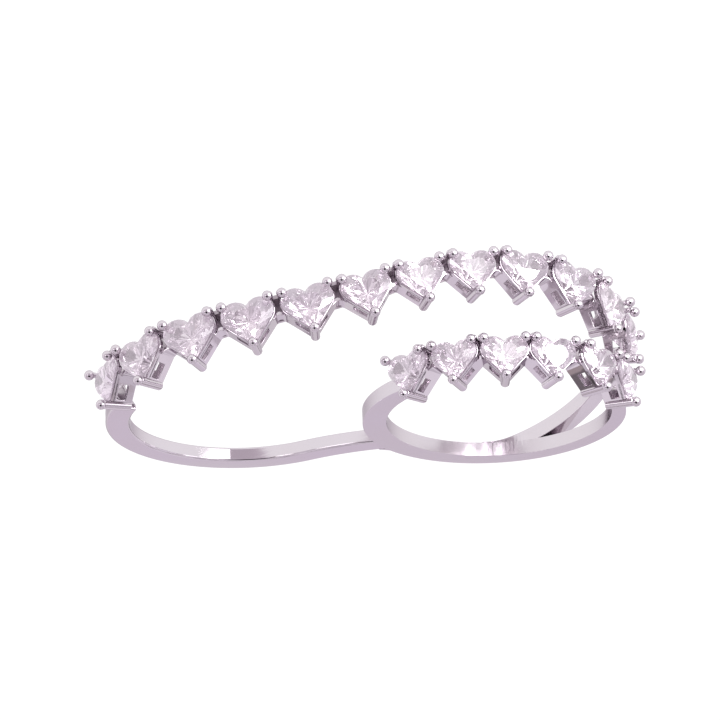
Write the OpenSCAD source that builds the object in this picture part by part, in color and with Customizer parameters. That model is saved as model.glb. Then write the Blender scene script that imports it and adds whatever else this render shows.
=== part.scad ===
// A two finger ring. A long row of heart-cut stones sweeps over both fingers and a short row
// crosses the right one. All the metal is one soldered piece, and each stone is a piece of its own.
// The ring is drawn as worn: X across the fingers, Y along them with the hearts' points at -Y,
// Z up from the fingers, the right finger's middle at the origin. At the end it is laid on its
// knuckle side: it rests on the left loop's shank and on the long row's ninth and last baskets.

/* [Fingers] */
// Inside diameter of the right finger's hole
right_d = 17; // [15:0.1:20]
// Inside diameter of the left finger's hole
left_d = 17.4; // [15:0.1:20]
// Distance between the middles of the two holes, across the hand
finger_pitch = 19.1; // [18.6:0.1:20.5]
// How much higher the left hole's middle sits
left_rise = 1.4; // [0:0.1:3]

/* [Shank] */
// Width of the shank along the finger
shank_w = 1.1; // [0.8:0.05:1.8]
// Thickness of the shank where it is thickest
shank_t = 1.8; // [1.2:0.05:2.2]
// Thickness of the right loop on its outer side
thin_t = 1.1; // [0.8:0.05:1.6]
// Distance of the shank's front face from the hearts' shoulder line in the short row
front_set = 2.28; // [1.8:0.02:2.5]
// Turn at which the link leaves the left loop, measured from straight up
link_turn = 152; // [140:1:160]
// Middle radius of the link's bend
link_r = 19; // [14:0.5:30]
// Turn over which the link bends, until it runs into the right loop
link_bend = 19; // [15:1:24]
// Turn at which the rear branch starts to part from the shank
fork_turn = 174; // [168:1:178]
// Slope of the rear branch towards the long row
fork_slope = 24; // [18:0.5:28]

/* [Hearts] */
// Width of a heart-cut stone of size 1
heart_w = 3.64; // [3:0.02:3.8]
// Height from a finger hole's edge to the middles of the prongs' beads
bead_rise = 2.4; // [2.2:0.05:3.2]
// Diameter of a prong's bead
bead_d = 0.75; // [0.5:0.05:0.9]
// Diameter of a prong's wire
prong_d = 0.4; // [0.3:0.02:0.5]
// Thickness of a basket's walls
wall_t = 0.3; // [0.2:0.02:0.4]
// Gap between a stone and the metal that holds it
stone_gap = 0.03; // [0.02:0.01:0.08]

/* [Cut] */
// Height of a stone above its edge
crown_h = 0.42; // [0.3:0.02:0.55]
// Depth of a stone below its edge
pavilion_h = 1.34; // [1:0.02:1.5]
// Thickness of a stone's edge
girdle_h = 0.05; // [0.03:0.01:0.1]
// Width of the table as a share of the stone's
table_share = 0.6; // [0.5:0.01:0.66]

/* [Rows] */
// Distance from one heart's bead to the next heart's, in the long row
row_gap = 1.08; // [0.85:0.01:1.3]
// Turn of the long row's first heart about the left arc
row_start = -64.5; // [-68:0.5:-60]
// Radius of the long row's middle arc, between the fingers
bridge_r = 40; // [34:1:60]
// How far the long row swings towards the knuckle at its highest
sweep = 6.6; // [5.8:0.1:7.2]
// How far out beyond the left hole's middle the row's left arc is centred
row_out = 0.55; // [0:0.05:0.8]
// How much wider than the left hole the row's left arc is
row_loose = 0.2; // [0:0.05:0.4]

/* [Hidden] */
$fn = 48;

// The long row, left to right: heart size, share of the sweep, turn in its own plane
SIZE = 0;
SWEEP = 1;
SPIN = 2;
long_row = [
    [1.09, 0.11, 5.5],
    [1.11, 0.185, 7.5],
    [1.12, 0.29, 8.5],
    [1.11, 0.405, 9.5],
    [1.09, 0.52, 11],
    [1.05, 0.66, 14],
    [1.0, 0.82, 13],
    [1.01, 0.95, 7],
    [1.055, 1.0, -1.5],
    [1.07, 0.93, -7.5],
    [1.08, 0.795, -10.5],
    [1.06, 0.63, -11]];
// The short row, left to right: heart size, turn about the right finger
TURN = 1;
short_row = [
    [1.03, -42.3],
    [0.98, -19.8],
    [0.98, 1.3],
    [1.0, 22],
    [1.01, 45.7],
    [1.01, 67.8]];
LONG = 0;
SHORT = 1;

right_r = right_d / 2;
left_r = left_d / 2;
left_mid = [-finger_pitch, left_rise];
shank_front = -front_set;
shank_back = shank_front + shank_w;
shank_line = (shank_front + shank_back) / 2;

// A heart's outline as shares of its width: two round lobes and two straight sides to the point
lobe_share = 0.27;
lobe_height_share = 0.176;
point_share = 0.812;
// The beads sit on the lobes' outer shoulders, at this turn above the lobes' middles
shoulder_turn = 41;
// Levels below the beads' middles
girdle_z = -0.5;
seat_z = girdle_z - girdle_h - 0.17;
seat_h = 0.42;
window_top = -1.1;
foot_h = 0.62;

// Turns that lay the ring down on a surface, about Z and then about X
lie_turn = -4;
lie_tilt = -69.24;
up = [sin(lie_tilt) * sin(lie_turn), sin(lie_tilt) * cos(lie_turn), cos(lie_tilt)];
// It rests on the back edge of the left loop's shank, and its middle is set over the origin
rest_z = up * [left_mid[0], shank_back, left_mid[1]] - (left_r + shank_t) * norm([up[0], up[2]]);
rest_mid = [-9.605, 2.358];

function lobe_r(w) = lobe_share * w;
function lobe_x(w) = w / 2 - lobe_r(w);
function lobe_y(w) = -lobe_height_share * w;
function point_y(w) = -point_share * w;
// Half of the angle between the straight sides
function side_turn(w) =
    let (rise = lobe_y(w) - point_y(w), reach = sqrt(pow(rise, 2) + pow(lobe_x(w), 2)))
    atan(lobe_x(w) / rise) + asin(lobe_r(w) / reach);
function shoulder(w, out = 0) =
    [lobe_x(w) + (lobe_r(w) + out) * cos(shoulder_turn),
     lobe_y(w) + (lobe_r(w) + out) * sin(shoulder_turn)];
function bead_reach(w) = shoulder(w)[0];
function width(row, i) = heart_w * (row == LONG ? long_row[i][SIZE] : short_row[i][SIZE]);

// The long row's middle line is three arcs that run smoothly into each other
left_arc = left_mid + [-row_out, row_out / 2];
left_arc_r = left_r + bead_rise + row_loose;
right_arc_r = right_r + bead_rise;
span = norm(left_arc);
along = -left_arc / span;
reach_l = bridge_r - left_arc_r;
reach_r = bridge_r - right_arc_r;
foot_of = (pow(reach_l, 2) - pow(reach_r, 2) + pow(span, 2)) / (2 * span);
bridge_mid = left_arc + foot_of * along
    + sqrt(pow(reach_l, 2) - pow(foot_of, 2)) * [along[1], -along[0]];
function turn_of(v) = atan2(v[0], v[1]);
function point_at(mid, r, turn) = mid + r * [sin(turn), cos(turn)];
function arc_length(r, turn) = r * turn * PI / 180;
left_end = turn_of(left_arc - bridge_mid);
right_start = turn_of(-bridge_mid);
left_run = arc_length(left_arc_r, left_end - row_start);
bridge_run = arc_length(bridge_r, right_start - left_end);
// Place on the line at a distance s from its start, as [x, z, turn]
function on_row(s) =
    s < left_run ? let (t = row_start + s / arc_length(left_arc_r, 1))
        concat(point_at(left_arc, left_arc_r, t), t)
    : s < left_run + bridge_run ? let (t = left_end + (s - left_run) / arc_length(bridge_r, 1))
        concat(point_at(bridge_mid, bridge_r, t), t)
    : let (t = right_start + (s - left_run - bridge_run) / arc_length(right_arc_r, 1))
        concat(point_at([0, 0], right_arc_r, t), t);
function rise(i) = sweep * long_row[i][SWEEP];
function pitch(i) = bead_reach(width(LONG, i)) + bead_reach(width(LONG, i - 1)) + row_gap;
function run(i) = i == 0 ? 0 : run(i - 1) + sqrt(pow(pitch(i), 2) - pow(rise(i) - rise(i - 1), 2));

// Each heart's frame: its place, its turn about the finger and its turn in its own plane
function frame(row, i) = row == LONG
    ? let (p = on_row(run(i))) [[p[0], rise(i), p[1]], p[2], long_row[i][SPIN]]
    : let (p = point_at([0, 0], right_arc_r, short_row[i][TURN]))
        [[p[0], 0, p[1]], short_row[i][TURN], 0];
module at_frame(f) {
    translate(f[0]) rotate([0, f[1], 0]) rotate([0, 0, f[2]]) children();
}

// Heart outline, grown outwards by a distance
// (the sides run a hair inside the lobes' tangents, so that they cross the lobes cleanly)
hair = 0.005;
module heart(w, grow) {
    t = side_turn(w);
    r = lobe_r(w) + grow;
    tangent = [lobe_x(w) + (r - hair) * cos(t), lobe_y(w) - (r - hair) * sin(t)];
    for (s = [-1, 1]) translate([s * lobe_x(w), lobe_y(w)]) circle(r);
    polygon([[0, point_y(w) - (grow - hair) / sin(t)], tangent, [lobe_x(w), lobe_y(w)],
        [-lobe_x(w), lobe_y(w)], [-tangent[0], tangent[1]]]);
}
module heart_wall(w, out, thick) {
    difference() {
        heart(w, out);
        heart(w, out - thick);
    }
}

// Wall of a basket: how far it stands out beyond the stone, the foot's width as a share of the
// heart's, and the corner post, notched for the stone's point
wall_out = 0.06;
foot_share = 0.44;
post_d = 0.62;
notch_z = girdle_z - 0.45;
window_share = 0.5;
corner_l = 0.6;
// Where a basket stands over a finger, its feet reach down until the finger's hole cuts them round
foot_drop = 0.25;
// Webs between neighbours: their place behind the beads as a share of the width, and their height
web_share = 0.36;
web_h = 1.2;

// The seat rail's inside is the stone's outline shrunk to what it is at that depth, and a bit over
seat_share = 1 - (girdle_z - girdle_h - seat_z) / pavilion_h + 0.9 * stone_gap;

// Inside of a basket, open from the stone down
module basket_inside(w) {
    translate([0, 0, -2 * bead_rise]) linear_extrude(2 * bead_rise) heart(w, wall_out - wall_t);
}

// A heart cut straight at the sides, where two neighbours' feet meet
module foot(w, grow) {
    intersection() {
        heart(w, wall_out - grow);
        square([2 * (foot_share * w - grow), 2 * w], center = true);
    }
}

// Basket of one heart: a seat rail, a wall with a window on each side of the point, a foot rail,
// a corner post with a bead at the point and a leaning wire with a bead on each shoulder
module basket(w, drop) {
    t = side_turn(w);
    h = bead_rise + drop;
    // the side walls stop short of the lobes, inside the foot's width
    side_end = lobe_y(w) - lobe_r(w) * sin(t) - wall_t / 5;
    side_l = (side_end - point_y(w)) / cos(t);
    window_l = window_share * side_l;
    window_h = bead_rise - foot_h + window_top;
    translate([0, 0, seat_z - seat_h]) linear_extrude(seat_h) difference() {
        heart(w, wall_out);
        translate(middle(w)) scale(seat_share) translate(-middle(w)) heart(w, 0);
    }
    difference() {
        translate([0, 0, -h]) linear_extrude(h + seat_z - seat_h / 2) intersection() {
            heart_wall(w, wall_out, wall_t);
            translate([0, point_y(w)]) square([w, 2 * (side_end - point_y(w))], center = true);
        }
        for (s = [-1, 1]) translate([0, point_y(w), window_top - window_h / 2])
            rotate([0, 0, 90 - s * t]) translate([corner_l + window_l / 2, 0, 0])
            cube([window_l, 4 * wall_t, window_h], center = true);
    }
    translate([0, 0, -h]) linear_extrude(foot_h + drop) difference() {
        foot(w, 0);
        foot(w, wall_t);
    }
    difference() {
        translate([0, point_y(w) + post_d / 16, -h]) cylinder(h = h - bead_d / 4, d = post_d);
        translate([0, 0, notch_z]) linear_extrude(bead_rise) heart(w, 0);
    }
    translate([0, point_y(w), 0]) sphere(d = bead_d);
    for (s = [-1, 1]) {
        top = shoulder(w, prong_d / 2 + 2 * stone_gap);
        low = shoulder(w, -prong_d / 4);
        translate([s * shoulder(w)[0], shoulder(w)[1], 0]) sphere(d = bead_d);
        wire([s * top[0], top[1], -prong_d / 4], [s * low[0], low[1], -bead_rise + prong_d / 4]);
    }
}

// Straight prong wire with a round top
module wire(from, to) {
    v = to - from;
    translate(from) {
        sphere(d = prong_d);
        rotate([0, acos(v[2] / norm(v)), atan2(v[1], v[0])]) cylinder(h = norm(v), d = prong_d);
    }
}

// Short web that ties the feet of two neighbours
module web(row, i, drop) {
    a = frame(row, i);
    b = frame(row, i + 1);
    l = norm(b[0] - a[0]) - (foot_share - 0.05) * (width(row, i) + width(row, i + 1));
    at_frame((a + b) / 2) translate([-l / 2, -web_share * heart_w, -bead_rise - drop])
        cube([l, wall_t, web_h + drop]);
}
function drop_at(row, i) = frame(row, i)[1] > right_start || row == SHORT ? foot_drop : 0;
module row_of_baskets(row, table) {
    for (i = [0:len(table) - 1])
        trimmed(drop_at(row, i)) at_frame(frame(row, i)) basket(width(row, i), drop_at(row, i));
    for (i = [0:len(table) - 2]) trimmed(drop_at(row, i)) web(row, i, drop_at(row, i));
}
// The feet are cut round for the right finger, a hair wider than the shank's own hole
module trimmed(drop) {
    if (drop > 0) difference() {
        children();
        slab(-4 * front_set, 4 * sweep) circle(right_r + 4 * hair);
    } else children();
}

// Upright slab between the front and back faces of the shank
module slab(front, back) {
    translate([0, back, 0]) rotate([90, 0, 0]) linear_extrude(back - front) children();
}
// Part of the plane between two turns about the origin
module sector(from, to, r) {
    steps = 6;
    polygon(concat([[0, 0]], [for (k = [0:steps]) point_at([0, 0], r, from + (to - from) * k / steps)]));
}
module arc_band(mid, r, t, from, to) {
    translate(mid) intersection() {
        difference() {
            circle(r + t);
            circle(r);
        }
        sector(from, to, 3 * r);
    }
}

// The right loop's outside is a wider circle than its hole and sits off its middle,
// so the loop thins out towards its right side
loop_r = right_r + (shank_t + thin_t) / 2;
loop_mid = [(thin_t - shank_t) / 2, -0.2];
link_mid = point_at(left_mid, left_r + shank_t / 2 + link_r, link_turn);
module loop_wall() {
    difference() {
        translate(loop_mid) circle(loop_r);
        circle(right_r);
    }
}
module shank() {
    slab(shank_front, shank_back) {
        arc_band(left_mid, left_r, shank_t, 360 + row_start - shank_in, link_turn);
        arc_band(link_mid, link_r - shank_t / 2, shank_t, link_turn - 181,
            link_turn - 180 + link_bend);
        intersection() {
            loop_wall();
            sector(short_row[5][TURN] + shank_in, 360 + short_row[0][TURN] - shank_in,
                3 * right_r);
        }
    }
}
// How far, in degrees, the shank's ends stay back from the middle of the heart that they meet
shank_in = 3;

// Rear branch: a slanting strip cut out of the right loop's wall, from the shank, which it leaves
// in a smooth bend, up to the long row's last heart
fork_end = 84;
fork_view = 125;
fork_ease = 1.5;
fork_steps = 16;
function fork_rise(s) = s < fork_ease ? pow(s, 2) / (2 * fork_ease) : s - fork_ease / 2;
function fork_line(t) = shank_line + tan(fork_slope) * fork_rise(arc_length(right_r, fork_turn - t));
module fork_branch() {
    half = shank_w / 2 / cos(fork_slope);
    turns = [for (k = [0:fork_steps]) fork_turn + (fork_end - fork_turn) * pow(k / fork_steps, 1.5)];
    intersection() {
        slab(shank_front, 2 * sweep) loop_wall();
        rotate([0, fork_view, 0]) linear_extrude(2 * right_r) polygon(concat(
            [for (t = turns) [loop_r * sin(t - fork_view), fork_line(t) - half]],
            [for (k = [fork_steps:-1:0])
                [loop_r * sin(turns[k] - fork_view), fork_line(turns[k]) + half]]));
    }
}

// All the metal, soldered into one piece
module band() {
    color("silver") {
        difference() {
            union() {
                shank();
                fork_branch();
            }
            for (e = [[LONG, 0], [LONG, 11], [SHORT, 0], [SHORT, 5]])
                at_frame(frame(e[0], e[1])) basket_inside(width(e[0], e[1]));
        }
        row_of_baskets(LONG, long_row);
        row_of_baskets(SHORT, short_row);
    }
}

// Heart-cut stone. Its edge has 24 points, the heart's point first and the cleft halfway round;
// every second one ends a main facet. Rings of points about the stone's middle carry the facets.
sides = 24;
side_steps = 4;
lobe_steps = sides / 2 - side_steps;
middle_share = 0.34;
function middle(w) = [0, -middle_share * w];
// Edge point k of the right half, from the heart's point up the side and round the lobe
function edge_point(w, k) =
    let (t = side_turn(w), r = lobe_r(w) - stone_gap, tip = [0, point_y(w) + stone_gap / sin(t)],
        cleft = 180 - acos(lobe_x(w) / r),
        turn = -t + (cleft + t) * (k - side_steps) / lobe_steps,
        from = [lobe_x(w) + r * cos(t), lobe_y(w) - r * sin(t)])
    k < side_steps ? tip + (from - tip) * k / side_steps
    : k == sides / 2 ? [0, lobe_y(w) + r * sin(cleft)]
    : [lobe_x(w) + r * cos(turn), lobe_y(w) + r * sin(turn)];
function edge(w) = [for (k = [0:sides - 1])
    k <= sides / 2 ? edge_point(w, k)
    : let (p = edge_point(w, sides - k)) [-p[0], p[1]]];
// Ring of points that lie at a share of the way from the stone's middle to every second edge point
function ring(w, edge, first, share, round_share, z) =
    let (mid = middle(w), mean = 0.39 * w)
    [for (k = [first:2:sides - 1])
        let (v = edge[k] - mid, p = mid + share * v * ((1 - round_share)
            + round_share * mean / norm(v))) [p[0], p[1], z]];
module stone(w) {
    rim = edge(w);
    n = sides / 2;
    low_z = girdle_z - girdle_h;
    star_share = table_share + 0.45 * (1 - table_share);
    // the lower half facets reach three quarters of the way down
    low_share = 0.27;
    points = concat(
        ring(w, rim, 0, table_share, 0.5, girdle_z + crown_h),
        ring(w, rim, 1, star_share, 0.27, girdle_z + 0.61 * crown_h),
        [for (p = rim) [p[0], p[1], girdle_z]],
        [for (p = rim) [p[0], p[1], low_z]],
        ring(w, rim, 1, low_share, 0, low_z - (1.02 - low_share) * pavilion_h),
        [[0, middle(w)[1], low_z - pavilion_h]]);
    star = n;
    top = 2 * n;
    low = top + sides;
    half = low + sides;
    culet = half + n;
    faces = concat(
        [[for (k = [n - 1:-1:0]) k]],
        [for (k = [0:n - 1]) [k, (k + 1) % n, star + k]],
        [for (k = [0:n - 1]) [k, star + k, top + 2 * k]],
        [for (k = [0:n - 1]) [k, top + 2 * k, star + (k + n - 1) % n]],
        [for (k = [0:n - 1]) [star + k, top + 2 * k + 1, top + 2 * k]],
        [for (k = [0:n - 1]) [star + k, top + (2 * k + 2) % sides, top + 2 * k + 1]],
        [for (k = [0:sides - 1]) [top + k, top + (k + 1) % sides, low + (k + 1) % sides]],
        [for (k = [0:sides - 1]) [top + k, low + (k + 1) % sides, low + k]],
        [for (k = [0:n - 1]) [low + 2 * k, low + 2 * k + 1, half + k]],
        [for (k = [0:n - 1]) [low + 2 * k + 1, low + (2 * k + 2) % sides, half + k]],
        [for (k = [0:n - 1]) [low + 2 * k, half + k, culet]],
        [for (k = [0:n - 1]) [low + 2 * k, culet, half + (k + n - 1) % n]]);
    color("white") polyhedron(points, faces);
}
module set_stone(row, i) {
    at_frame(frame(row, i)) stone(width(row, i));
}
module lying() {
    translate([-rest_mid[0], -rest_mid[1], -rest_z]) rotate([lie_tilt, 0, 0]) rotate([0, 0, lie_turn]) children();
}

lying() band();
lying() set_stone(LONG, 0);  // stone_long_1
lying() set_stone(LONG, 1);  // stone_long_2
lying() set_stone(LONG, 2);  // stone_long_3
lying() set_stone(LONG, 3);  // stone_long_4
lying() set_stone(LONG, 4);  // stone_long_5
lying() set_stone(LONG, 5);  // stone_long_6
lying() set_stone(LONG, 6);  // stone_long_7
lying() set_stone(LONG, 7);  // stone_long_8
lying() set_stone(LONG, 8);  // stone_long_9
lying() set_stone(LONG, 9);  // stone_long_10
lying() set_stone(LONG, 10);  // stone_long_11
lying() set_stone(LONG, 11);  // stone_long_12
lying() set_stone(SHORT, 0);  // stone_short_1
lying() set_stone(SHORT, 1);  // stone_short_2
lying() set_stone(SHORT, 2);  // stone_short_3
lying() set_stone(SHORT, 3);  // stone_short_4
lying() set_stone(SHORT, 4);  // stone_short_5
lying() set_stone(SHORT, 5);  // stone_short_6
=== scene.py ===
"""A two finger ring with a long row and a short row of heart-cut stones, lying on its side.

The ring is drawn in millimetres as it is worn: X across the fingers, Y along them with the hearts'
points at -Y, Z up from them, the right finger's middle at the origin. Each finished piece is then
laid on the table with the ring, in metres.
"""
import math

import bmesh
import bpy
from mathutils import Matrix, Vector


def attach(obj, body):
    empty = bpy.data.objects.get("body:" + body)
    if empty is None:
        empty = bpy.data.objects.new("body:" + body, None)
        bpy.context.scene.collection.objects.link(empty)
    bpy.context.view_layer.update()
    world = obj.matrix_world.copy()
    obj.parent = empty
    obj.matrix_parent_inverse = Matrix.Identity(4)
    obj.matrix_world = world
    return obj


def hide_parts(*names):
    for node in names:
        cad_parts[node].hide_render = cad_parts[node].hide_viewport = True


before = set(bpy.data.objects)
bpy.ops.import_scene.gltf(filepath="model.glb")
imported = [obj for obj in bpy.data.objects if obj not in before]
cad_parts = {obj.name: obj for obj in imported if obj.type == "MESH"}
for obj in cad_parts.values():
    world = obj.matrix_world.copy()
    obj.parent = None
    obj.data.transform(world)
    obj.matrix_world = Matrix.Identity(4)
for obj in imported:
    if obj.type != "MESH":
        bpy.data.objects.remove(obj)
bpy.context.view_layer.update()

# The shank's left side: a finger loop and the S-shaped link in one bent bar of white gold, sawn
# flat at the front and back, with its edges broken by the polishing. Its upper end is soldered to
# the long row's first basket.
left_r = 8.7
left_mid = Vector((-19.1, 0, 1.4))
shank_w = 1.1
shank_t = 1.8
shank_front = -2.28
shank_back = shank_front + shank_w
shank_edge = 0.16
shank_edge_steps = 4
# how far the loops run on into the baskets at their ends, in degrees
shank_in = 3.0
link_turn = 152.0
link_r = 19.0
link_bend = 19.0
link_in = 3.0
left_steps = 70
link_steps = 20
shank_round = math.radians(30)

# the turn, the tilt and the move that lay the worn ring on its knuckle side
lie_turn = math.radians(-4)
lie_tilt = math.radians(-69.24)
rest_mid = Vector((-9.605, 2.358, -3.43317))
millimetre = 0.001
lying = (Matrix.Scale(millimetre, 4) @ Matrix.Translation(-rest_mid)
         @ Matrix.Rotation(lie_tilt, 4, "X") @ Matrix.Rotation(lie_turn, 4, "Z"))

gold_cool = (0.68, 0.635, 0.69, 1)
gold_warm = (0.675, 0.615, 0.65, 1)
gold_edge = (0.56, 0.52, 0.56, 1)


def blend_colours(tree, factor, first, second):
    """Mixes two colours, each a value or another node's socket."""
    mix = tree.nodes.new("ShaderNodeMix")
    mix.data_type = "RGBA"
    tree.links.new(factor, mix.inputs["Factor"])
    for name, colour in (("A", first), ("B", second)):
        if isinstance(colour, bpy.types.NodeSocket):
            tree.links.new(colour, mix.inputs[name])
        else:
            mix.inputs[name].default_value = colour
    return mix.outputs["Result"]


def make_group(name, inputs, outputs):
    """Empty shader group, with its input and output nodes."""
    group = bpy.data.node_groups.new(name, "ShaderNodeTree")
    for way, sockets in (("INPUT", inputs), ("OUTPUT", outputs)):
        for socket, kind in sockets:
            group.interface.new_socket(socket, in_out=way, socket_type="NodeSocket" + kind)
    return group, group.nodes.new("NodeGroupInput"), group.nodes.new("NodeGroupOutput")


def make_patchy_skin():
    """Group for a surface with soft patches, which turn from one tone and gloss to another."""
    group, given, result = make_group(
        "patchy_skin",
        [("Scale", "Float"), ("Detail", "Float"), ("Tone", "Color"), ("Patch Tone", "Color"),
         ("Patch Start", "Float"), ("Patch End", "Float"), ("Gloss", "Float"), ("Dull", "Float")],
        [("Color", "Color"), ("Roughness", "Float")])
    nodes, links = group.nodes, group.links
    where = nodes.new("ShaderNodeTexCoord")
    patches = nodes.new("ShaderNodeTexNoise")
    dull = nodes.new("ShaderNodeMapRange")
    links.new(where.outputs["Object"], patches.inputs["Vector"])
    links.new(given.outputs["Scale"], patches.inputs["Scale"])
    links.new(given.outputs["Detail"], patches.inputs["Detail"])
    for socket, source in (("From Min", "Patch Start"), ("From Max", "Patch End"),
                           ("To Min", "Gloss"), ("To Max", "Dull")):
        links.new(given.outputs[source], dull.inputs[socket])
    links.new(patches.outputs["Fac"], dull.inputs["Value"])
    links.new(dull.outputs["Result"], result.inputs["Roughness"])
    tone = blend_colours(group, patches.outputs["Fac"], given.outputs["Tone"],
                         given.outputs["Patch Tone"])
    links.new(tone, result.inputs["Color"])
    return group


def make_hairlines():
    """Group for the faint lines that a polishing wheel leaves along a piece."""
    group, given, result = make_group("hairlines", [("Strength", "Float")], [("Normal", "Vector")])
    nodes, links = group.nodes, group.links
    where = nodes.new("ShaderNodeTexCoord")
    stretch = nodes.new("ShaderNodeMapping")
    stretch.inputs["Scale"].default_value = (700.0, 700.0, 4500.0)
    lines = nodes.new("ShaderNodeTexNoise")
    lines.inputs["Scale"].default_value = 1.0
    lines.inputs["Detail"].default_value = 3.0
    relief = nodes.new("ShaderNodeBump")
    relief.inputs["Distance"].default_value = 0.00002
    links.new(where.outputs["Object"], stretch.inputs["Vector"])
    links.new(stretch.outputs["Vector"], lines.inputs["Vector"])
    links.new(lines.outputs["Fac"], relief.inputs["Height"])
    links.new(given.outputs["Strength"], relief.inputs["Strength"])
    links.new(relief.outputs["Normal"], result.inputs["Normal"])
    return group


patchy_skin = make_patchy_skin()
hairlines = make_hairlines()


def put_group(material, group, values):
    """Places a group in a material with its own values, and ties it to the shader."""
    nodes, links = material.node_tree.nodes, material.node_tree.links
    placed = nodes.new("ShaderNodeGroup")
    placed.node_tree = group
    for name, value in values.items():
        placed.inputs[name].default_value = value
    for socket in placed.outputs:
        target = "Base Color" if socket.name == "Color" else socket.name
        links.new(socket, nodes["Principled BSDF"].inputs[target])


def make_white_gold(name, gloss, dull):
    """Polished white gold with a thin rhodium plating: faint hairlines and soft dull patches."""
    material = bpy.data.materials.new(name)
    material.use_nodes = True
    metal = material.node_tree.nodes["Principled BSDF"]
    metal.inputs["Metallic"].default_value = 1.0
    metal.inputs["Specular Tint"].default_value = gold_edge
    put_group(material, patchy_skin, {
        "Scale": 180.0, "Detail": 2.0, "Tone": gold_cool, "Patch Tone": gold_warm,
        "Patch Start": 0.35, "Patch End": 0.75, "Gloss": gloss, "Dull": dull})
    put_group(material, hairlines, {"Strength": 0.06})
    return material


white_gold = make_white_gold("white_gold", gloss=0.05, dull=0.12)


def solder(bm, name, round_angle, gold=white_gold):
    """Lays a finished mesh down with the ring and makes it a piece of the one soldered band.

    Edges that turn by less than round_angle are shaded round.
    """
    bmesh.ops.transform(bm, matrix=lying, verts=bm.verts)
    for face in bm.faces:
        face.smooth = True
    for edge in bm.edges:
        edge.smooth = (edge.smooth and len(edge.link_faces) == 2
                       and edge.calc_face_angle() < round_angle)
    mesh = bpy.data.meshes.new(name)
    bm.to_mesh(mesh)
    bm.free()
    mesh.materials.append(gold)
    piece = bpy.data.objects.new(name, mesh)
    bpy.context.scene.collection.objects.link(piece)
    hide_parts("band")
    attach(piece, "root")


def point_at(mid, r, turn):
    """Point at a distance from a middle, at a turn in degrees from straight up towards +X."""
    return mid + r * Vector((math.sin(math.radians(turn)), 0, math.cos(math.radians(turn))))


def bend(bm, edges, mid, turn, steps):
    """Spins an edge across the bar about a bend's middle, and returns the edge that it ends in."""
    verts = list({v for e in edges for v in e.verts})
    spun = bmesh.ops.spin(bm, geom=edges + verts, cent=mid, axis=(0, 1, 0),
                          angle=math.radians(turn), steps=steps)
    return [e for e in spun["geom_last"] if isinstance(e, bmesh.types.BMEdge)]


def across(bm, mid, inner, outer, turn):
    """Edge across a flat bar, on the shank's front face."""
    ends = [bm.verts.new(point_at(mid, r, turn) + Vector((0, shank_front, 0)))
            for r in (inner, outer)]
    return [bm.edges.new(ends)]


def saw_bar(bm):
    """Gives a flat strip the shank's width."""
    made = bmesh.ops.extrude_face_region(bm, geom=bm.faces)
    moved = [v for v in made["geom"] if isinstance(v, bmesh.types.BMVert)]
    bmesh.ops.translate(bm, verts=moved, vec=(0, shank_w, 0))
    bmesh.ops.recalc_face_normals(bm, faces=bm.faces)


def break_edges(bm, width, segments=2, least_angle=50):
    """Rounds the edges of a mesh that are sharper than an angle in degrees."""
    sharp = [e for e in bm.edges if len(e.link_faces) == 2
             and e.calc_face_angle() > math.radians(least_angle)]
    for edge in bm.edges:
        edge.smooth = True
    made = bmesh.ops.bevel(bm, geom=sharp, offset=width, offset_type="OFFSET", segments=segments,
                           profile=0.5, affect="EDGES", material=-1, clamp_overlap=True)
    rounded = set(made["faces"])
    for edge in {e for f in rounded for e in f.edges}:
        edge.smooth = all(f in rounded for f in edge.link_faces)


# the two rows of hearts, as the bars end at baskets. A heart lies in its own frame's XY plane with
# its cleft near the middle, its point at -Y and the beads' middles at Z 0
right_r = 8.5
heart_w = 3.64
lobe_share = 0.27
lobe_height_share = 0.176
point_share = 0.812
shoulder_turn = math.radians(41)
bead_rise = 2.4
row_gap = 1.08
row_start = -64.5
bridge_r = 40.0
sweep = 6.6
# each heart's size, its share of the sweep along the fingers and its turn in its own plane
long_row = [
    (1.09, 0.11, 5.5), (1.11, 0.185, 7.5), (1.12, 0.29, 8.5), (1.11, 0.405, 9.5),
    (1.09, 0.52, 11), (1.05, 0.66, 14), (1.0, 0.82, 13), (1.01, 0.95, 7),
    (1.055, 1.0, -1.5), (1.07, 0.93, -7.5), (1.08, 0.795, -10.5), (1.06, 0.63, -11)]
# each heart's size and its turn about the right finger
short_row = [(1.03, -42.3), (0.98, -19.8), (0.98, 1.3), (1.0, 22), (1.01, 45.7), (1.01, 67.8)]

# the long row follows an arc over each finger and a flat one between them
left_arc_shift = Vector((-0.55, 0, 0.275))
left_arc = left_mid + left_arc_shift
left_arc_out = 0.2
left_arc_r = left_r + bead_rise + left_arc_out
right_arc_r = right_r + bead_rise
origin = Vector((0, 0, 0))

# the baskets' walls stand this far outside the hearts' outlines
wall_out = 0.06
# a bar is cut this far outside a heart's slanting side, and only its faces near the heart are cut
trim_out = 0.006
trim_reach = 4.6


def lobe_r(w):
    """Radius of the two round lobes of a heart with a given width."""
    return lobe_share * w


def lobe_x(w):
    """Where the right lobe's middle is across the heart."""
    return w / 2 - lobe_r(w)


def lobe_y(w):
    """Where the lobes' middles are along the heart."""
    return -lobe_height_share * w


def point_y(w):
    """Where the point is along the heart."""
    return -point_share * w


def side_turn(w):
    """Half of the angle at a heart's point."""
    height = lobe_y(w) - point_y(w)
    return (math.atan(lobe_x(w) / height)
            + math.asin(lobe_r(w) / math.hypot(height, lobe_x(w))))


def shoulder(w, out=0.0):
    """Where a heart's shoulder bead sits, or a place further out."""
    return Vector((lobe_x(w) + (lobe_r(w) + out) * math.cos(shoulder_turn),
                   lobe_y(w) + (lobe_r(w) + out) * math.sin(shoulder_turn), 0))


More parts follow.
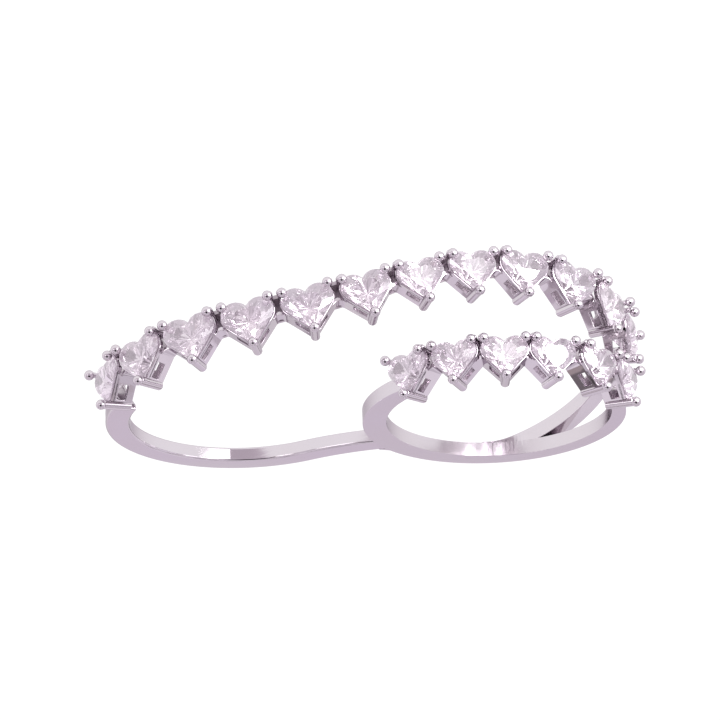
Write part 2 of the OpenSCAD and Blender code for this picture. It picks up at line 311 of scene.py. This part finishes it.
def find_bridge():
    """Middle of the row's middle arc, and the turns at which it starts and ends."""
    span = left_arc.length
    toward = -left_arc / span
    reach_left, reach_right = bridge_r - left_arc_r, bridge_r - right_arc_r
    along = (reach_left ** 2 - reach_right ** 2 + span ** 2) / (2 * span)
    mid = (left_arc + along * toward
           + math.sqrt(reach_left ** 2 - along ** 2) * Vector((toward[2], 0, -toward[0])))
    start = math.degrees(math.atan2(left_arc[0] - mid[0], left_arc[2] - mid[2]))
    end = math.degrees(math.atan2(-mid[0], -mid[2]))
    return mid, start, end


bridge_mid, bridge_start, bridge_end = find_bridge()
left_run = left_arc_r * math.radians(bridge_start - row_start)
bridge_run = bridge_r * math.radians(bridge_end - bridge_start)


def on_row(run):
    """Place and turn on the long row's line at a distance from its start."""
    if run < left_run:
        turn = row_start + math.degrees(run / left_arc_r)
        return point_at(left_arc, left_arc_r, turn), turn
    if run < left_run + bridge_run:
        turn = bridge_start + math.degrees((run - left_run) / bridge_r)
        return point_at(bridge_mid, bridge_r, turn), turn
    turn = bridge_end + math.degrees((run - left_run - bridge_run) / right_arc_r)
    return point_at(origin, right_arc_r, turn), turn


def long_hearts():
    """Width and frame of each heart of the long row, and whether it is over the right finger."""
    hearts, run = [], 0.0
    for k, (size, share, spin) in enumerate(long_row):
        if k:
            size_before, share_before, _ = long_row[k - 1]
            pitch = shoulder(heart_w * size)[0] + shoulder(heart_w * size_before)[0] + row_gap
            run += math.sqrt(pitch ** 2 - (sweep * (share - share_before)) ** 2)
        place, turn = on_row(run)
        heart = (Matrix.Translation(place + Vector((0, sweep * share, 0)))
                 @ Matrix.Rotation(math.radians(turn), 4, "Y")
                 @ Matrix.Rotation(math.radians(spin), 4, "Z"))
        hearts.append((heart_w * size, heart, turn > bridge_end))
    return hearts


def short_hearts():
    """The same of each heart of the short row."""
    return [(heart_w * size, Matrix.Translation(point_at(origin, right_arc_r, turn))
             @ Matrix.Rotation(math.radians(turn), 4, "Y"), True) for size, turn in short_row]


rows = [long_hearts(), short_hearts()]


def trim_end(bm, basket, side):
    """Cuts a bar's end to the slanting side of the basket that it is soldered to."""
    w, heart, _ = basket
    t = side_turn(w)
    out = heart.to_3x3() @ Vector((side * math.cos(t), -math.sin(t), 0))
    through = heart @ Vector((0, point_y(w), 0)) + trim_out * out
    near = [f for f in bm.faces
            if (f.calc_center_median() - heart.translation).length < trim_reach]
    verts, edges = {v for f in near for v in f.verts}, {e for f in near for e in f.edges}
    bmesh.ops.bisect_plane(bm, geom=list(verts) + list(edges) + near, plane_co=through,
                           plane_no=out, clear_inner=True)
    bmesh.ops.holes_fill(bm, edges=[e for e in bm.edges if e.is_boundary])


bar = bmesh.new()
left_start = 360 + row_start - shank_in
link_mid = point_at(left_mid, left_r + shank_t / 2 + link_r, link_turn)
loop_foot = bend(bar, across(bar, left_mid, left_r, left_r + shank_t, left_start), left_mid,
                 link_turn - left_start, left_steps)
bend(bar, loop_foot, link_mid, link_bend + link_in, link_steps)
bmesh.ops.remove_doubles(bar, verts=bar.verts, dist=1e-4)
saw_bar(bar)
trim_end(bar, rows[0][0], -1)
break_edges(bar, shank_edge, shank_edge_steps)
solder(bar, "left_loop", shank_round)

# The shank's right loop: bent round the right finger and filed thinner towards its outer side.
# The link runs into its left side, and its two ends are soldered to the short row's end baskets.
# Its polish is softer, so its inner face shows the baskets only as a grey haze.
thin_t = 1.1
loop_r = right_r + (shank_t + thin_t) / 2
loop_mid = Vector(((thin_t - shank_t) / 2, 0, -0.2))
loop_steps = 110
# the loop stands this far in front of the link, as two faces in one plane would flicker
loop_proud = 0.02
soft_gold = make_white_gold("soft_gold", gloss=0.14, dull=0.22)


def outside_at(ray):
    """Distance along a ray from the finger's middle to the loop's outside."""
    along = ray.dot(loop_mid)
    return along + math.sqrt(along ** 2 + loop_r ** 2 - loop_mid.length_squared)


bar = bmesh.new()
loop_start = short_row[5][1] + shank_in
loop_end = 360 + short_row[0][1] - shank_in
bend(bar, across(bar, origin, right_r, right_r + shank_t, loop_start), origin,
     loop_end - loop_start, loop_steps)
for vert in bar.verts:
    radius = math.hypot(vert.co.x, vert.co.z)
    if radius > right_r + shank_t / 2:
        reach = outside_at(Vector((vert.co.x, 0, vert.co.z)) / radius)
        vert.co.x, vert.co.z = vert.co.x * reach / radius, vert.co.z * reach / radius
saw_bar(bar)
bmesh.ops.translate(bar, verts=bar.verts, vec=(0, -loop_proud, 0))
trim_end(bar, rows[1][0], -1)
trim_end(bar, rows[1][5], 1)
break_edges(bar, shank_edge, shank_edge_steps)
solder(bar, "right_loop", shank_round, soft_gold)

# The solder in the corner below the link's end: a small filed fillet that runs from the link's
# underside to the right loop's outside.
fillet_back = 2.0
fillet_turns = (231.0, 234.0)
fillet_in = 0.5

bar = bmesh.new()
corner = [point_at(link_mid, link_r - shank_t / 2, link_turn + 180 + link_bend - fillet_back),
          point_at(loop_mid, loop_r, fillet_turns[0]),
          point_at(loop_mid, loop_r - fillet_in, fillet_turns[1])]
bar.faces.new([bar.verts.new(p + Vector((0, shank_front, 0))) for p in corner])
saw_bar(bar)
bmesh.ops.translate(bar, verts=bar.verts, vec=(0, -loop_proud / 2, 0))
break_edges(bar, shank_edge / 2)
solder(bar, "link_solder", shank_round, soft_gold)

# The rear branch: a second bar of the same gold that leaves the right loop in a smooth bend,
# climbs along the finger and is soldered to the long row's last basket.
fork_start = 174.0
fork_end = 84.0
fork_slope = math.tan(math.radians(24))
fork_view = math.radians(125)
fork_ease = 1.5
fork_steps = 56
# more than 1 puts the steps closer together where the branch leaves the loop
fork_crowding = 1.4
fork_half = shank_w / 2 * math.sqrt(1 + fork_slope ** 2)


def fork_corner(turn, side, mid, r):
    """Corner of the branch's section. Its side walls stand in the direction of fork_view."""
    run = right_r * math.radians(fork_start - turn)
    lift = run ** 2 / (2 * fork_ease) if run < fork_ease else run - fork_ease / 2
    line = (shank_front + shank_back) / 2 + fork_slope * lift
    off = loop_r * math.sin(math.radians(turn) - fork_view)
    shift = mid[0] * math.cos(fork_view) - mid[2] * math.sin(fork_view)
    p = point_at(mid, r, math.degrees(fork_view + math.asin((off - shift) / r)))
    return Vector((p[0], max(shank_front, line + side * fork_half), p[2]))


def fork_section(turn):
    """The branch's four corners at a turn about the finger, in degrees."""
    return [fork_corner(turn, -1, origin, right_r), fork_corner(turn, 1, origin, right_r),
            fork_corner(turn, 1, loop_mid, loop_r), fork_corner(turn, -1, loop_mid, loop_r)]


def grow_bar(bm, tip, section):
    """Draws a bar on from its tip to the next section, and returns the new tip."""
    grown = bmesh.ops.extrude_face_region(bm, geom=[tip])["geom"]
    new_tip = [f for f in grown if isinstance(f, bmesh.types.BMFace)][0]
    for vert, place in zip(new_tip.verts, section):
        vert.co = place
    return new_tip


bar = bmesh.new()
tip = bar.faces.new([bar.verts.new(p) for p in fork_section(fork_start)])
for k in range(1, fork_steps + 1):
    share = (k / fork_steps) ** fork_crowding
    tip = grow_bar(bar, tip, fork_section(fork_start + (fork_end - fork_start) * share))
bmesh.ops.recalc_face_normals(bar, faces=bar.faces)
trim_end(bar, rows[0][11], 1)
break_edges(bar, shank_edge, shank_edge_steps)
solder(bar, "rear_branch", shank_round)

# The side walls: under each row one zigzag wall of white gold sheet, folded round every heart's
# point and rounded in the valleys between the hearts, with a window pierced on each side of a
# point. Over the right finger its feet are cut round to the finger.
wall_t = 0.3
wall_top = -0.8
wall_edge = 0.05
window_top = -1.12
window_share = 0.5
foot_h = 0.6
corner_r = 0.33
corner_steps = 5
corner_l = 0.62
side_in = 0.2
valley_steps = 6
finger_r = right_r + 0.02
basket_round = math.radians(40)
# heights of the wall's grid lines, as shares of the wall's height
levels = [0.0, foot_h / (bead_rise + wall_top),
          (bead_rise + window_top) / (bead_rise + wall_top), 1.0]
SOLID, WINDOW, VALLEY = "solid", "window", "valley"
# cells that are left open: what lies there along the wall, and the level it starts from
open_cells = ((WINDOW, 1), (VALLEY, 2))


def half_side(w):
    """Plan of a wall's right half from the point's middle, and what lies after each place."""
    t = side_turn(w)
    tip = Vector((0, point_y(w) - wall_out / math.sin(t)))
    side_end = lobe_y(w) - lobe_r(w) * math.sin(t) - side_in * wall_t
    window_l = window_share * (side_end - point_y(w)) / math.cos(t)
    along = Vector((math.sin(t), math.cos(t)))
    mid = tip + Vector((0, corner_r / math.sin(t)))
    plan = []
    for k in range(corner_steps + 1):
        a = (math.pi / 2 - t) * k / corner_steps
        plan.append((mid + corner_r * Vector((math.sin(a), -math.cos(a))), SOLID))
    plan.append((tip + along * corner_l, WINDOW))
    plan.append((tip + along * (corner_l + window_l), SOLID))
    plan.append((tip + along * (side_end - tip[1]) / math.cos(t), VALLEY))
    return plan


def cut_round(foot, top):
    """Where the line from a wall's top through its foot meets the finger's hole."""
    ray = (foot - top).normalized()
    flat = Vector((ray[0], 0, ray[2]))
    away = Vector((top[0], 0, top[2]))
    a, b, c = flat.length_squared, 2 * flat.dot(away), away.length_squared - finger_r ** 2
    return top + ray * (-b - math.sqrt(max(0.0, b * b - 4 * a * c))) / (2 * a)


def column(heart, plan, over_finger):
    """Foot and top of a wall at a place in its plan."""
    foot = heart @ Vector((plan[0], plan[1], -bead_rise))
    top = heart @ Vector((plan[0], plan[1], wall_top))
    return [cut_round(foot, top) if over_finger else foot, top]


def valley(before, after):
    """Columns round the valley where one basket's wall bends over into the next one's."""
    (w, heart, over_finger), (w_next, heart_next, over_next) = before, after
    end, end_next = half_side(w)[-1][0], half_side(w_next)[-1][0]
    start = column(heart, end, over_finger)
    stop = column(heart_next, (-end_next[0], end_next[1]), over_next)
    peak = []
    for z in (-bead_rise, wall_top):
        middle = (heart @ Vector((0, 0, z)) + heart_next @ Vector((0, 0, z))) / 2
        meets = []
        for width, place, last, side in ((w, heart, end, 1), (w_next, heart_next, end_next, -1)):
            x = (place.inverted() @ middle)[0]
            y = last[1] + (side * x - last[0]) / math.tan(side_turn(width))
            meets.append(place @ Vector((x, y, z)))
        peak.append((meets[0] + meets[1]) / 2)
    return [[a.lerp(b, k / valley_steps).lerp(b.lerp(c, k / valley_steps), k / valley_steps)
             for a, b, c in zip(start, peak, stop)] for k in range(1, valley_steps)]


def row_columns(row):
    """All columns along a row's wall, each with what lies after it."""
    columns = []
    for k, basket in enumerate(row):
        w, heart, over_finger = basket
        right = half_side(w)
        left = [(Vector((-p[0], p[1])), right[i - 1][1]) for i, (p, _) in enumerate(right)][:0:-1]
        columns += [(column(heart, plan, over_finger), after) for plan, after in left + right]
        if k + 1 < len(row):
            columns += [(curve, VALLEY) for curve in valley(basket, row[k + 1])]
    return columns


def draw_wall(row):
    """Wall without thickness, from a flat grid whose columns go to their places along the row."""
    columns = row_columns(row)
    last, top_level = len(columns) - 1, len(levels) - 1
    bm = bmesh.new()
    bmesh.ops.create_grid(bm, x_segments=last, y_segments=top_level, size=1)
    pierced = []
    for face in bm.faces:
        mid = face.calc_center_median()
        after = columns[int((mid.x + 1) / 2 * last)][1]
        if (after, int((mid.y + 1) / 2 * top_level)) in open_cells:
            pierced.append(face)
    for vert in bm.verts:
        foot, top = columns[round((vert.co.x + 1) / 2 * last)][0]
        vert.co = foot.lerp(top, levels[round((vert.co.y + 1) / 2 * top_level)])
    bmesh.ops.delete(bm, geom=pierced, context="FACES")
    bmesh.ops.recalc_face_normals(bm, faces=bm.faces)
    return bm


for name, row in (("long_wall", rows[0]), ("short_wall", rows[1])):
    bm = draw_wall(row)
    toward_point = row[0][1].to_3x3() @ Vector((0, -1, 0))
    if sum(f.normal.dot(toward_point) for f in bm.faces) < 0:
        bmesh.ops.reverse_faces(bm, faces=bm.faces)
    bmesh.ops.solidify(bm, geom=bm.faces, thickness=wall_t)
    bmesh.ops.recalc_face_normals(bm, faces=bm.faces)
    break_edges(bm, wall_edge)
    solder(bm, name, basket_round)

# The seats: under each stone's edge a heart-shaped rail that the stone sits on. It is sawn from
# white gold sheet, rounded, and soldered inside the top of the wall and the prongs.
girdle_z = -0.5
girdle_h = 0.05
seat_drop = 0.12
seat_z = girdle_z - girdle_h - seat_drop
seat_h = 0.36
seat_share = 0.9
seat_edge = 0.06
middle_share = 0.34
outline_steps = 14
# edges sharper than this are rounded on the heart-shaped pieces, in degrees
rail_sharp = 60


def outline(w, grow):
    """A heart's outline grown by a distance, from its point round to its point again."""
    t, r = side_turn(w), lobe_r(w) + grow
    half = [Vector((0, point_y(w) - grow / math.sin(t), 0))]
    last = math.pi - math.acos(min(1.0, lobe_x(w) / r))
    for k in range(outline_steps):
        a = -t + (last + t) * k / outline_steps
        half.append(Vector((lobe_x(w) + r * math.cos(a), lobe_y(w) + r * math.sin(a), 0)))
    half.append(Vector((0, lobe_y(w) + r * math.sin(last), 0)))
    return half + [Vector((-p[0], p[1], 0)) for p in half[-2:0:-1]]


def shrunk(w, share):
    """A heart's outline shrunk towards its middle."""
    centre = Vector((0, -middle_share * w, 0))
    return [centre + share * (p - centre) for p in outline(w, 0)]


def heart_rail(bm, heart, outer, inner, low, high):
    """Flat heart-shaped rail between two outlines."""
    loops = []
    for line in (outer, inner):
        verts = [bm.verts.new(heart @ (p + Vector((0, 0, low)))) for p in line]
        loops += [bm.edges.new((verts[k - 1], verts[k])) for k in range(len(verts))]
    flat = bmesh.ops.bridge_loops(bm, edges=loops)["faces"]
    made = bmesh.ops.extrude_face_region(bm, geom=flat)
    moved = [v for v in made["geom"] if isinstance(v, bmesh.types.BMVert)]
    bmesh.ops.translate(bm, verts=moved, vec=heart.to_3x3() @ Vector((0, 0, high - low)))


rails = bmesh.new()
for w, heart, _ in rows[0] + rows[1]:
    heart_rail(rails, heart, outline(w, wall_out), shrunk(w, seat_share), seat_z - seat_h, seat_z)
bmesh.ops.recalc_face_normals(rails, faces=rails.faces)
break_edges(rails, seat_edge, least_angle=rail_sharp)
solder(rails, "seat_rails", basket_round)

# The foot plates: behind each stone a plate with a heart-shaped hole, which ties the wall's feet
# together, and two webs of the same sheet that run on to the next basket's plate. They are matt,
# and their colour is darkened as painted shade, for the shade deep between and under the baskets.
plate_t = 0.3
plate_out = wall_out - 0.05
plate_edge = 0.05
foot_share = 0.44
hole_share = 0.3
web_share = foot_share - 0.03
# each web's start and end along the finger, as shares of a heart's width, and its top
webs = [(-0.34, 0.06, plate_t - bead_rise), (0.0, 0.075, -0.95)]
# painted shade: these tones, darker than the polished gold, stand in for the shade between and
# under the baskets; the patches between the two are random
painted_shade_dark = (0.45, 0.4, 0.44, 1)
painted_shade_pale = (0.6, 0.54, 0.58, 1)

# matt metal whose darker colour is painted shade
shade_painted_gold = bpy.data.materials.new("shade_painted_gold")
shade_painted_gold.use_nodes = True
shade_painted_gold.node_tree.nodes["Principled BSDF"].inputs["Metallic"].default_value = 1.0
put_group(shade_painted_gold, patchy_skin, {
    "Scale": 1500.0, "Detail": 3.0, "Tone": painted_shade_dark, "Patch Tone": painted_shade_pale,
    "Patch Start": 0.0, "Patch End": 1.0, "Gloss": 0.3, "Dull": 0.5})


def foot_plate(w, heart, low):
    """One plate, cut straight at its sides."""
    plate = bmesh.new()
    heart_rail(plate, Matrix.Identity(4), outline(w, plate_out), shrunk(w, hole_share), low,
               plate_t - bead_rise)
    for side in (-1, 1):
        bmesh.ops.bisect_plane(plate, geom=plate.verts[:] + plate.edges[:] + plate.faces[:],
                               plane_co=(side * foot_share * w, 0, 0), plane_no=(side, 0, 0),
                               clear_outer=True)
        bmesh.ops.holes_fill(plate, edges=[e for e in plate.edges if e.is_boundary])
    bmesh.ops.recalc_face_normals(plate, faces=plate.faces)
    break_edges(plate, plate_edge, least_angle=rail_sharp)
    bmesh.ops.transform(plate, matrix=heart, verts=plate.verts)
    return plate


def add_webs(bm, before, after, low):
    """Webs from one basket's plate to the next one's."""
    for near_y, far_y, high in webs:
        sections = [[heart @ Vector((side * web_share * w, y * w, z))
                     for y, z in ((near_y, low), (far_y, low), (far_y, high), (near_y, high))]
                    for (w, heart, _), side in ((before, 1), (after, -1))]
        grow_bar(bm, bm.faces.new([bm.verts.new(p) for p in sections[0]]), sections[1])


def cut_to_finger(bm):
    """Cuts a plate's underside round to the finger's hole."""
    for vert in bm.verts:
        away = Vector((vert.co[0], 0, vert.co[2]))
        if away.length < finger_r:
            away *= finger_r / away.length
            vert.co = Vector((away[0], vert.co[1], away[2]))


plates = bmesh.new()
for row in rows:
    for k, basket in enumerate(row):
        w, heart, over_finger = basket
        low = -bead_rise - (plate_t if over_finger else 0)
        plate = foot_plate(w, heart, low)
        if k + 1 < len(row):
            add_webs(plate, basket, row[k + 1], low)
        if over_finger:
            cut_to_finger(plate)
        bmesh.ops.recalc_face_normals(plate, faces=plate.faces)
        scrap = bpy.data.meshes.new("plate")
        plate.to_mesh(scrap)
        plate.free()
        plates.from_mesh(scrap)
        bpy.data.meshes.remove(scrap)
solder(plates, "foot_plates", basket_round, shade_painted_gold)

# The prongs: white gold wire, soldered into the baskets. A thick post stands at each heart's point
# and two thin wires lean out to its shoulders, and each ends in a small round bead that is pushed
# over the stone's edge.
bead_d = 0.77
bead_segments = 24
bead_rings = 14
bead_round = math.radians(60)
prong_d = 0.42
prong_segments = 14
prong_foot = 0.1 - bead_rise
prong_top = -0.1
prong_round = math.radians(50)
post_d = 0.7
post_segments = 24
post_top = -0.15
post_edge = 0.08
post_in_foot = post_d / 4
post_in_top = post_d / 16
stone_gap = 0.03
# how far out of the stone's edge a thin wire's middle is at its foot and at its top
prong_out_foot = -prong_d / 4
prong_out_top = prong_d / 2 + 2 * stone_gap


def rod(bm, low, high, width, segments):
    """Straight round rod between two places."""
    turn = Vector((0, 0, 1)).rotation_difference(high - low).to_matrix().to_4x4()
    bmesh.ops.create_cone(bm, cap_ends=True, segments=segments, radius1=width / 2,
                          radius2=width / 2, depth=(high - low).length,
                          matrix=Matrix.Translation((low + high) / 2) @ turn)


def bead(bm, heart, x, y):
    """Small round bead at a place on a stone's edge."""
    bmesh.ops.create_uvsphere(bm, u_segments=bead_segments, v_segments=bead_rings,
                              radius=bead_d / 2, matrix=heart @ Matrix.Translation((x, y, 0)))


prongs = bmesh.new()
beads = bmesh.new()
for w, heart, over_finger in rows[0] + rows[1]:
    top = heart @ Vector((0, point_y(w) + post_in_top, post_top))
    foot = heart @ Vector((0, point_y(w) + post_in_foot, -bead_rise))
    rod(prongs, cut_round(foot, top) if over_finger else foot, top, post_d, post_segments)
    bead(beads, heart, 0, point_y(w))
    for side in (-1, 1):
        low, high = shoulder(w, prong_out_foot), shoulder(w, prong_out_top)
        rod(prongs, heart @ Vector((side * low[0], low[1], prong_foot)),
            heart @ Vector((side * high[0], high[1], prong_top)), prong_d, prong_segments)
        bead(beads, heart, side * shoulder(w)[0], shoulder(w)[1])
break_edges(prongs, post_edge)
solder(prongs, "prongs", prong_round)
solder(beads, "beads", bead_round)

# The stones: heart-cut colourless stones with flat polished facets, held on their seats by the
# beads. They keep their own solids. A trace of haze lies on them, and the light that real ones
# gather from all round is added as a faint glow.
stone_cool = (0.53, 0.485, 0.56, 1)
stone_warm = (0.565, 0.50, 0.51, 1)
stone_glow = (1.0, 0.88, 1.0, 1)

clear_stone = bpy.data.materials.new("clear_stone")
clear_stone.use_nodes = True
clear = clear_stone.node_tree.nodes["Principled BSDF"]
clear.inputs["Metallic"].default_value = 0.0
clear.inputs["Transmission Weight"].default_value = 1.0
clear.inputs["IOR"].default_value = 2.1
clear.inputs["Emission Color"].default_value = stone_glow
clear.inputs["Emission Strength"].default_value = 0.095
put_group(clear_stone, patchy_skin, {
    "Scale": 320.0, "Detail": 2.0, "Tone": stone_cool, "Patch Tone": stone_warm,
    "Patch Start": 0.45, "Patch End": 0.8, "Gloss": 0.0, "Dull": 0.03})

for name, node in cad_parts.items():
    if name.startswith("stone"):
        node.data.materials.clear()
        node.data.materials.append(clear_stone)

# The camera looks from the photograph's side: over the fingers' backs, 21 degrees towards the
# hearts' points. It is fitted in the worn ring's frame, so it is laid down with the ring.
view_tilt = 0.36247
view_yaw = 0.01687
view_roll = 0.04092
view_distance = 400.0
view_scale = 13.238
view_x = 10.3716
view_z = -1.9893
view_lift = 0.22
sensor = 36.0
picture = 720

# its rows are the picture's right, the picture's up, and the way back to the camera
sight = (Matrix.Rotation(view_roll, 3, "Z") @ Matrix.Rotation(view_yaw, 3, "Y")
         @ Matrix.Rotation(-view_tilt, 3, "X"))
lens_place = sight.transposed() @ Vector((-view_x, -view_z, view_distance))
turned = lying.to_3x3().normalized() @ sight.transposed()
camera_data = bpy.data.cameras.new("camera")
camera_data.sensor_width = sensor
camera_data.lens = view_scale * view_distance / picture * sensor
camera_data.clip_start = 0.01
camera = bpy.data.objects.new("camera", camera_data)
camera.matrix_world = (Matrix.Translation(lying @ (lens_place + Vector((0, view_lift, 0))))
                       @ turned.to_4x4())
bpy.context.scene.collection.objects.link(camera)
bpy.context.scene.camera = camera

# The table it lies on: a plain white sheet, lit so brightly that the ring's shadow is lost in it.
# It is greyer behind the ring, outside the picture, where the shanks' rims mirror it.
table_half = 3.0
sheet_white = (1.0, 1.0, 1.0, 1)
sheet_far = (0.96, 0.90, 0.985, 1)
sheet_back = (0.6, 0.53, 0.59, 1)
sheet_base = (0.12, 0.12, 0.12, 1)
fade_start = 0.056
fade_end = 0.1
back_start = 0.02
back_end = 0.09


def ease(tree, value, start, end, smooth=False):
    """Goes from 0 to 1 while a socket's value goes from start to end."""
    fade = tree.nodes.new("ShaderNodeMapRange")
    if smooth:
        fade.interpolation_type = "SMOOTHSTEP"
    fade.inputs["From Min"].default_value = start
    fade.inputs["From Max"].default_value = end
    tree.links.new(value, fade.inputs["Value"])
    return fade.outputs["Result"]


paper = bpy.data.materials.new("white_sheet")
paper.use_nodes = True
tree = paper.node_tree
sheet = tree.nodes["Principled BSDF"]
sheet.inputs["Base Color"].default_value = sheet_base
sheet.inputs["Roughness"].default_value = 0.9
sheet.inputs["Specular IOR Level"].default_value = 0.0
sheet.inputs["Emission Strength"].default_value = 1.0
where = tree.nodes.new("ShaderNodeTexCoord")
reach = tree.nodes.new("ShaderNodeVectorMath")
reach.operation = "LENGTH"
tree.links.new(where.outputs["Object"], reach.inputs[0])
split = tree.nodes.new("ShaderNodeSeparateXYZ")
tree.links.new(where.outputs["Object"], split.inputs["Vector"])
far = blend_colours(tree, ease(tree, split.outputs["Y"], back_start, back_end), sheet_far,
                    sheet_back)
glow = blend_colours(tree, ease(tree, reach.outputs["Value"], fade_start, fade_end, True),
                     sheet_white, far)
tree.links.new(glow, sheet.inputs["Emission Color"])

bm = bmesh.new()
bmesh.ops.create_grid(bm, x_segments=1, y_segments=1, size=table_half)
mesh = bpy.data.meshes.new("table")
bm.to_mesh(mesh)
bm.free()
mesh.materials.append(paper)
table = bpy.data.objects.new("table", mesh)
bpy.context.scene.collection.objects.link(table)

# The light: a tent of grey-white cloths over the table, with darker ones between them. The
# camera's dark shape shows as a spot in every bead.
tent_low = (0.96, 0.90, 0.985, 1)
tent_back = (0.6, 0.53, 0.59, 1)
# the cloths' colours, each with the share of the cloths that are darker than it
cloth_colours = [(0.0, (0.2, 0.175, 0.19, 1)), (0.1, (0.46, 0.39, 0.4, 1)),
                 (0.24, (0.74, 0.69, 0.76, 1)), (0.55, (0.98, 0.93, 1.0, 1))]
# dark shapes in front of the ring: how far towards the picture's up they are from the camera's
# direction, half angle in degrees, colour
spots = [(0, 17, (0.62, 0.55, 0.62, 1)), (-0.45, 20, (0.01, 0.01, 0.01, 1))]
spot_edge = 1.15
# the low cloth turns grey towards the back between these Y parts of a direction, and ends at the
# tent's cloths between these Z parts
tent_back_start = 0.3
tent_back_end = 0.85
tent_low_start = 0.22
tent_low_end = 0.34

world = bpy.data.worlds.new("tent")
bpy.context.scene.world = world
world.use_nodes = True
tree = world.node_tree
direction = tree.nodes.new("ShaderNodeTexCoord").outputs["Generated"]
split = tree.nodes.new("ShaderNodeSeparateXYZ")
tree.links.new(direction, split.inputs["Vector"])
cloths = tree.nodes.new("ShaderNodeTexVoronoi")
cloths.inputs["Scale"].default_value = 8.0
cloths.inputs["Randomness"].default_value = 1.0
tree.links.new(direction, cloths.inputs["Vector"])
pick = tree.nodes.new("ShaderNodeSeparateColor")
tree.links.new(cloths.outputs["Color"], pick.inputs["Color"])
cloth = tree.nodes.new("ShaderNodeValToRGB")
cloth.color_ramp.interpolation = "CONSTANT"
steps = cloth.color_ramp.elements
for k, (share, colour) in enumerate(cloth_colours):
    step = steps[k] if k < len(steps) else steps.new(share)
    step.position = share
    step.color = colour
tree.links.new(pick.outputs["Red"], cloth.inputs["Fac"])
low_cloth = blend_colours(tree, ease(tree, split.outputs["Y"], tent_back_start, tent_back_end),
                          tent_low, tent_back)
cover = blend_colours(tree, ease(tree, split.outputs["Z"], tent_low_start, tent_low_end, True),
                      low_cloth, cloth.outputs["Color"])
for up, half_angle, colour in spots:
    toward = tree.nodes.new("ShaderNodeVectorMath")
    toward.operation = "DOT_PRODUCT"
    toward.inputs[1].default_value = (turned @ Vector((0, up, 1))).normalized()
    tree.links.new(direction, toward.inputs[0])
    inside = ease(tree, toward.outputs["Value"], math.cos(math.radians(half_angle * spot_edge)),
                  math.cos(math.radians(half_angle)))
    cover = blend_colours(tree, inside, cover, colour)
tree.links.new(cover, tree.nodes["Background"].inputs["Color"])
tree.nodes["Background"].inputs["Strength"].default_value = 1.0

# The lamps: two wide soft ones high on both sides of the camera, and two low ones that stand on the
# table behind the ring and make the glints on the shanks' inner faces.
# the wide lamps' place by the picture's right, up and back, their size and their power
soft_place = Vector((0.38, 0.08, 0.5))
soft_size = (0.2, 0.13)
soft_power = 0.15
# each low lamp's place on the table, width and height, and power
low_lamps = [("lamp_low", Vector((0.029, 0.0345, 0)), (0.054, 0.03), 0.012),
             ("lamp_glint", Vector((0.0344, 0.03, 0)), (0.016, 0.018), 0.008)]
lamp_clear = 0.0001


def lamp(name, place, away, size, power):
    """Flat lamp that the camera doesn't see. Its back is turned to the direction named away."""
    data = bpy.data.lights.new(name, "AREA")
    data.shape = "RECTANGLE"
    data.size, data.size_y = size
    data.energy = power
    light = bpy.data.objects.new(name, data)
    turn = away.to_track_quat("Z", "Y").to_matrix().to_4x4()
    light.matrix_world = Matrix.Translation(place) @ turn
    light.visible_camera = False
    bpy.context.scene.collection.objects.link(light)


for name, side in (("lamp_left", -1), ("lamp_right", 1)):
    place = turned @ Vector((side * soft_place[0], soft_place[1], soft_place[2]))
    lamp(name, place, place, soft_size, soft_power)
for name, foot, size, power in low_lamps:
    lamp(name, foot + Vector((0, 0, size[1] / 2 + lamp_clear)), foot, size, power)

bpy.context.scene.view_settings.view_transform = "Standard"
